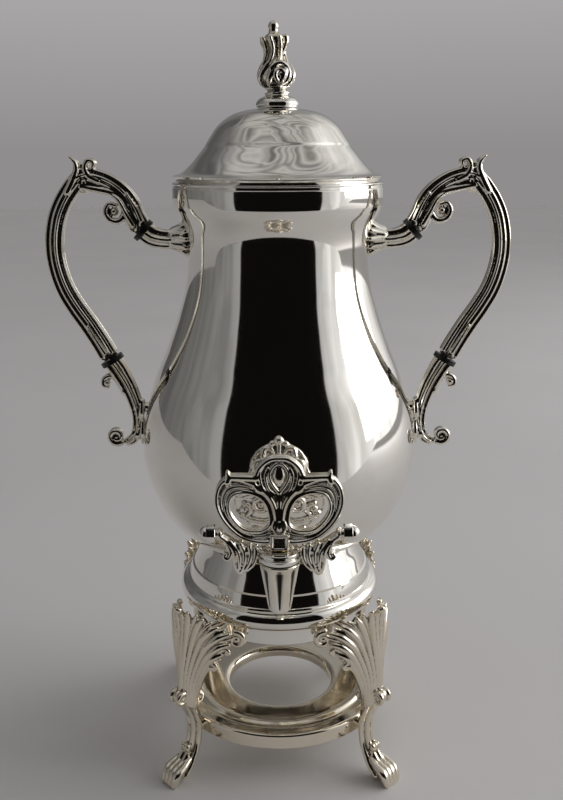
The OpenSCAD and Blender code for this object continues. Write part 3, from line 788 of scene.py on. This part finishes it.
# right-hand loop of the key: its outside and its opening, both from the bottom and against the clock
KEY_OUTER = [(3.2, 186.6), (11.5, 186.2), (19.8, 189.2), (27.2, 196.6), (31.4, 205.6), (31, 214.6), (26.6, 220.6),
             (19, 220.4), (11, 217), (4.4, 210.6), (1.4, 203), (1, 194)]
KEY_HOLE = [(6, 194.2), (10.4, 192.5), (17.3, 193.3), (22.6, 198.4), (25, 204.4), (23.6, 210.2), (19.4, 212.4),
            (14, 212.2), (9, 209.8), (6, 205.6), (4.8, 200.6), (4.6, 197)]


def closed_reed(loop, y, radius):
    """A reed that follows a closed outline all the way round."""
    points = np.vstack([loop, loop[:3]])
    return reed(np.column_stack([points[:, 0], np.full(len(points), y), points[:, 1]])[::3],
                np.full(len(points), radius)[::3], 10)


def make_key():
    ring_part, outside, hole = band(KEY_OUTER, KEY_HOLE, -1.2, 1.2)
    half = [ring_part]
    for y in (-1.3, 1.3):
        for share, radius in ((0.10, 1.25), (0.42, 0.62), (0.70, 0.62), (0.96, 0.9)):
            proud = 1.15 if share < 0.2 else 1
            half.append(closed_reed(outside * (1 - share) + hole * share, y * proud, radius))
        # shoulder with its horn
        half.append(reed([(11, y, 220.4), (18, y, 220.7), (24.6, y, 220.9)], [1.7, 1.7, 1.6]))
        half.append(reed([(25.4, y, 218.6), (24.8, y, 221), (25.4, y, 223.2)], [2, 1.7, 0.9]))
        # palmette flutes that run together above the hub
        for x0, x1, x2, top, radius in ((12.4, 12.4, 3.2, 220, 1.3), (9.6, 9, 2.2, 222.6, 1),
                                        (6.8, 6, 1.2, 221.4, 0.9)):
            half.append(reed([(0.7, y, 207), (x2, y, 211), (x1 * 0.86, y * 1.1, 214.8), (x0, y * 1.1, top),
                              (x0 * 0.8, y * 1.1, top + 4)], [0.7, 0.9, radius, radius, radius * 0.8]))
        # hub with its drop
        half.append(reed([(2.4, y * 1.4, 197.6), (3, y * 1.6, 194.6), (1.6, y * 1.5, 191.6)], [0.9, 1, 0.9]))
    parts = half + [mirrored(p) for p in half]
    # arch of the palmette
    parts += layers((-1.3, 1.3), [(-12.2, 219.6), (-9.6, 225.8), (-4.8, 229.8), (0, 230.6), (4.8, 229.8),
                                  (9.6, 225.8), (12.2, 219.6)], [1.4] * 7)
    # the drop-shaped rim inside it
    parts += layers((-1.56, 1.56), [(0, 212.6), (-3.4, 217.4), (-4.8, 222.4), (-2.6, 226.8), (0, 228),
                                    (2.6, 226.8), (4.8, 222.4), (3.4, 217.4), (0, 212.6)], [0.9] * 9)
    # stem down to the hub
    parts += layers((-1.3, 1.3), [(0, 212), (0, 198)], [1.1, 1.5])
    for side in (-1, 1):
        parts.append(ball((0, side * 1.17, 221.6), 3.4, (0.86, 0.42, 1.5)))
        parts.append(ball((0, side * 2.08, 194.6), 1.6, (0.9, 0.7, 1.9)))
    parts.append(ball((0, 0, 219.4), 11.6, (1, 0.13, 0.98), 20, 32))
    parts.append(reed([(0, 0, 214), (0, 0, 192)], [2.6, 3.8], flat=0.6))
    # square hub, with a raised frame on its face
    corners = np.array([[x, y, z] for x in (-1, 1) for y in (-1, 1) for z in (-1, 1)], float)
    parts.append((corners * (4.5, 4.1, 4.1) + (0, 0, 187.4),
                  [(0, 1, 3, 2), (4, 6, 7, 5), (0, 4, 5, 1), (2, 3, 7, 6), (0, 2, 6, 4), (1, 5, 7, 3)]))
    frame_line = [(-3.9, 183.8), (3.9, 183.8), (3.9, 191), (-3.9, 191), (-3.9, 183.8)]
    for (xa, za), (xb, zb) in zip(frame_line, frame_line[1:]):
        parts.append(reed([(xa, -4.1, za), (xb, -4.1, zb)], [0.7, 0.7], 8))
    cast_piece("key_cast", [moved(p, ON_TAP) for p in parts], CAST, 0.36, "tap_key", body="tap_key")


def make_tap():
    line = smooth_line([(5.2, 148.8), (5.9, 150.4), (7.1, 157.4), (8.5, 165.4), (9.9, 173.2), (10.4, 175.4)], 0.4)
    outline = np.vstack([line, [(10.2, 175.9), (8.8, 176.3), (8.8, 178.3), (7.2, 178.3), (5.6, 158), (3.6, 158),
                                (3.6, 148.8)]])

    def flute(angle, height):
        """Six pressed flutes, narrow at the mouth and meeting under the gland: their depth, and how strong the
        painted shade is along the bottom of each, a painted dark reflection laid in the floor of the flute."""
        up = np.clip((height - 149) / 25, 0, 1)
        off = (angle + math.pi / 2 + math.pi / 6) % (math.pi / 3) - math.pi / 6
        fade = np.clip((174.6 - height) / 3, 0, 1) * np.clip((height - 148.8) / 3, 0, 1)
        bowl = np.clip(1 - (off / np.radians(7 + 18 * up)) ** 2, 0, 1) * fade
        return 2.0 * bowl * (0.2 + 0.8 * up), np.clip(1.6 * bowl - 0.7, 0, 1)

    verts, faces = lathe(outline, 192, swell=lambda angle, radius, height:
                         radius - flute(angle, height)[0] * (radius > 5))
    spout = mesh_piece("spout_panelled", verts + ON_TAP, faces, CAST, stands_for="tap_body")
    # painted shade: the bottoms of the flutes are darkened through the casting's hollow colour, standing in for a
    # dark reflection
    dark = flute(np.arctan2(verts[:, 1], verts[:, 0]), verts[:, 2])[1] * (np.hypot(verts[:, 0], verts[:, 1]) > 4)
    spout.data.attributes.new("hollow", "FLOAT", "POINT").data.foreach_set("value", dark.astype(np.float32))
    cap = np.vstack([[(8.8, 176.4), (9.8, 176.4), (10.5, 177), (10.6, 177.6), (10.6, 178.8), (10.3, 179.2),
                      (9.75, 179.5), (9.75, 179.7), (10.3, 180), (10.6, 180.4), (10.6, 181.6)],
                     arc((9.8, 181.6), 0.8, 0, 90, 8), [(3.7, 182.4), (3.7, 179), (8.8, 179)]])
    verts, faces = lathe(cap, 192)
    mesh_piece("gland_cap_turned", verts + ON_TAP, faces, SILVER, stands_for="tap_cap")


def make_arms():
    leaf = []
    veins = [[(29.5, 189.6), (25.4, 186.4), (22.6, 181.6), (22.2, 176), (21.6, 172)],
             [(24.6, 187.4), (20.9, 181.6), (20, 176.4), (20.2, 171.8)],
             [(19.4, 186), (17.6, 181), (17.6, 176.2), (18.9, 171.6)],
             [(15, 185), (14.4, 180.4), (15.3, 175.8), (17.6, 171.6)],
             [(11.8, 183.6), (11.8, 179.2), (13.2, 175.2), (16.2, 171.8)],
             [(27.4, 188), (24.9, 183.4), (24.5, 179.8), (26, 177.6), (27.6, 178.6), (27, 180.2)]]
    for vein in veins:
        leaf += layers((-2.2, 2.2), vein, np.interp(np.linspace(0, 1, len(vein)), [0, 0.5, 1], [1.1, 1.3, 1]))
    leaf += [reed([(32, 0, 190.9), (27.6, 0, 188.6), (22, 0, 184.4), (16, 0, 182), (11, 0, 181)],
                  [2.6, 2.5, 2.8, 3, 2.6]),
             reed([(22, 0, 184), (19.4, 0, 178), (19.6, 0, 172)], [2.4, 2.2, 2]),
             reed([(15, 0, 182), (15.2, 0, 177), (17.6, 0, 172.4)], [2.2, 2, 1.6]),
             reed([(25.4, 0, 185), (24.8, 0, 180)], [1.8, 1.5]),
             ball((19.9, 0, 171), 2.6, (1, 1.25, 1.15)), ball((26.4, 0, 179), 1.6, (1, 1.8, 1)),
             ball((29.8, 0, 190.4), 2.9, (0.7, 1.15, 1.15))]
    for label, own in pair(leaf):
        cast_piece("tap_leaf_cast_" + label, [moved(p, ON_TAP) for p in own], CAST, 0.36, "tap_arm_" + label)
    # hexagon nuts with domed ends
    across, height, flank = 34.3, 190.7, 4.7
    sides = ((1, "right"), (-1, "left"))
    for side, label in sides:
        nut = bmesh.new()
        bmesh.ops.create_cone(nut, cap_ends=True, segments=6, radius1=flank * MM, radius2=flank * MM,
                              depth=4.6 * MM)
        bmesh.ops.bevel(nut, geom=nut.edges[:], offset=0.35 * MM, segments=3, affect="EDGES", profile=0.5)
        nut.transform(Matrix.Translation((side * across * MM, ON_TAP[1] * MM, height * MM))
                      @ Matrix.Rotation(math.pi / 2, 4, "Y"))
        mesh = bpy.data.meshes.new("arm_nut_" + label)
        nut.to_mesh(mesh)
        nut.free()
        dress(mesh, "arm_nut_" + label, SILVER, "urn", "tap_arm_nuts")
        mesh.set_sharp_from_angle(angle=math.radians(25))
    for side, label in sides:
        verts, faces = capped_lathe(np.vstack([[(0, 36.5)], arc((0, 36.6), 3.9, 0, 90, 14)]), 64)
        lying = np.column_stack([side * verts[:, 2], verts[:, 1] + ON_TAP[1], verts[:, 0] + height])
        mesh_piece("arm_nut_dome_" + label, lying,
                   faces if side < 0 else [tuple(reversed(f)) for f in faces], SILVER)


def belly_radius(z):
    """Radius of the vessel's belly at a height."""
    line = smooth_line([(61.7, 147.5), (71.8, 159), (79.2, 174.5), (83.4, 190), (84, 203), (81.7, 220),
                        (75.9, 240)])
    return np.interp(z, line[:, 1], line[:, 0])


def on_belly(points, lift):
    """Points (x, z) laid on the front of the belly and lifted off it."""
    points = np.asarray(points, float)
    radius = belly_radius(points[:, 1]) + lift
    return np.column_stack([points[:, 0], -np.sqrt(radius ** 2 - points[:, 0] ** 2), points[:, 1]])


def make_back_plate():
    half = [(0, 227), (4.6, 224), (10.4, 220.6), (13.6, 215.6), (15.4, 209), (20.6, 202), (24.6, 194), (23.6, 186),
            (17, 178), (12, 168), (0, 160.4)]
    edge = smooth_line(half, 1.2)
    parts = [reed(on_belly(edge[::2], 1), np.full(len(edge[::2]), 1.1))]
    parts.append(mirrored(parts[0]))
    # the plate itself: flat bars side by side, close enough to melt into one sheet
    for z in np.arange(162, 226.5, 1):
        reach = float(np.interp(z, edge[::-1, 1], edge[::-1, 0])) - 0.3
        if reach > 1.5:
            row = np.column_stack([np.linspace(-reach, reach, 13), np.full(13, z)])
            parts.append(reed(on_belly(row, 0.6), np.full(13, 0.95), 8))
    raised = []
    for centre, size, start, turns, thick in (((9.6, 190.4), 5.4, 190, -1.7, (1.5, 0.8)),
                                              ((5.2, 198.6), 2.8, 300, 1.3, (1.1, 0.7)),
                                              ((18.4, 187), 4, 80, 1.3, (1.3, 0.7))):
        knots, radii = scroll(centre, size, start, turns, thick, end_radius=0.7)
        raised.append(reed(on_belly(knots[:, [0, 2]], 1.9), radii))
        raised.append(ball(on_belly([centre], 2)[0], 1.2))
    lobes = [[(2, 215), (3.8, 221.4), (7.4, 221.8), (8.4, 217.8)],
             [(5, 209), (8.6, 215), (12, 214.4), (12.4, 209.6)],
             [(3, 205), (8.6, 204.6), (14.6, 202), (19.4, 204)], [(10, 199), (16, 198), (21.6, 196.4)],
             [(3, 182), (9, 180.4), (15.6, 181.6), (21, 184.6)], [(3, 176), (8, 174), (13, 175)]]
    for lobe in lobes:
        raised.append(reed(on_belly(lobe, 1.7), np.linspace(1, 1.9, len(lobe))))
    parts += raised + [mirrored(p) for p in raised]
    # bud at the top, and the vein under it
    parts += [ball(on_belly([(0, 226.4)], 1.6)[0], 2.7),
              reed(on_belly([(0, 225), (0, 214), (0, 196)], 1.9), [1.5, 1.2, 0.9]),
              ball(on_belly([(-3.6, 224.6)], 1.6)[0], 1.8), ball(on_belly([(3.6, 224.6)], 1.6)[0], 1.8)]
    cast_piece("back_plate_chased", parts, CAST, 0.4, "back_plate")


def make_finial():
    core = smooth_line([(6.6, 404.8), (5.4, 408), (6.6, 411.4), (9.2, 415), (8.8, 419), (5.6, 424), (4.2, 429),
                        (4.8, 432.6), (5.6, 435.6), (4.4, 437.4), (2.8, 438.6), (2.6, 440)], 0.5)
    parts = [capped_lathe(np.vstack([[(0.05, 404.8)], core, [(0.05, 440)]]), 48)]
    parts.append(ball((0.2, 0, 441.9), 3))
    for z, r in ((406.2, 6.4), (409.2, 5.9)):
        ring_points = [(r * math.cos(a), r * math.sin(a), z) for a in np.linspace(0, 2 * math.pi + 0.3, 40)]
        parts.append(reed(ring_points, [0.9] * 40, 10))
    # eight leaf ribs that sway round the bulge as they rise
    ribs = 8
    heights = [410.4, 413.4, 416.8, 420.4, 424, 428, 432, 435.8]
    reach = [7.2, 9.3, 9.4, 8, 6.3, 5.3, 5.8, 6.9]
    sway = [0, 0.10, 0.30, 0.62, 0.95, 1.15, 1.16, 1.05]
    for k in range(ribs):
        start = 2 * math.pi * (k + 0.3) / ribs
        knots = [(r * math.cos(start + w), r * math.sin(start + w), z) for z, r, w in zip(heights, reach, sway)]
        parts.append(reed(knots, [1, 1.9, 1.9, 1.5, 1.2, 1.15, 1.3, 0.9], 10))
    # C-scrolls on the front and the back of the bulge
    for side in (-1, 1):
        t = np.linspace(0, 1, 26)
        angle = math.radians(150) - t * 1.5 * 2 * math.pi
        size = 5.8 * (1 - 0.8 * t)
        x = 2.6 + size * np.cos(angle)
        z = 415.8 + 1.15 * size * np.sin(angle)
        hold = np.interp(z, heights, reach) + 0.8
        y = side * np.sqrt(np.maximum(hold ** 2 - x ** 2, 4))
        parts.append(reed(np.column_stack([x * -side, y, z]), 1.6 * (1 - 0.35 * t), 10))
        parts.append(ball((-2.6 * side, side * 9.4, 415.8), 1.5))
    # crown: a spike on the left, a lobe on the right
    parts.append(reed([(-4, -2, 428), (-6.4, -1, 432.6), (-7.4, 0, 436.4)], [1.4, 1.2, 0.5]))
    parts.append(reed([(3.6, -2, 427), (6, -1.4, 431.6), (6.8, -1, 435)], [1.4, 1.6, 1.9]))
    parts.append(ball((6.4, -1.2, 435.4), 2))
    # the casting stands a few degrees out of true
    lean = np.array(Matrix.Rotation(math.radians(-3.5), 3, "Y"))
    foot = np.array([0, 0, 404.8])
    parts = [((v - foot) @ lean.T + foot, f) for v, f in parts]
    cast_piece("finial_cast", parts, CAST, 0.36, "finial", body="lid")
    button = np.vstack([[(0.1, 398.5), (11.2, 398.5)],
                        smooth_line([(11.8, 398.9), (12.2, 399.8), (12.1, 401.4), (10.4, 403.4), (7.6, 404.8)],
                                    0.3), [(0.1, 404.8)]])
    mesh_piece("finial_button_turned", *capped_lathe(button, 128), SILVER, body="lid", stands_for="finial_button")


make_grips()
make_sockets()
make_legs()
make_key()
make_tap()
make_arms()
make_back_plate()
make_finial()

# CAD pieces that keep their own shape
KEPT = {
    SILVER: ["vessel_floor", "base_ring", "lid_bezel", "inlet_shank"],
    EBONITE: ["insulator_upper_left", "insulator_upper_right", "insulator_lower_left", "insulator_lower_right"],
    BRASS: ["finial_stud", "finial_washer", "finial_nut", "insulator_pins", "inlet_nut", "tap_plug", "key_screw",
            "leg_screws"],
    FIBRE: ["inlet_gasket", "plug_washer"],
}
for material, nodes in KEPT.items():
    for name in nodes:
        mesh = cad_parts[name].data
        mesh.materials.clear()
        mesh.materials.append(material)
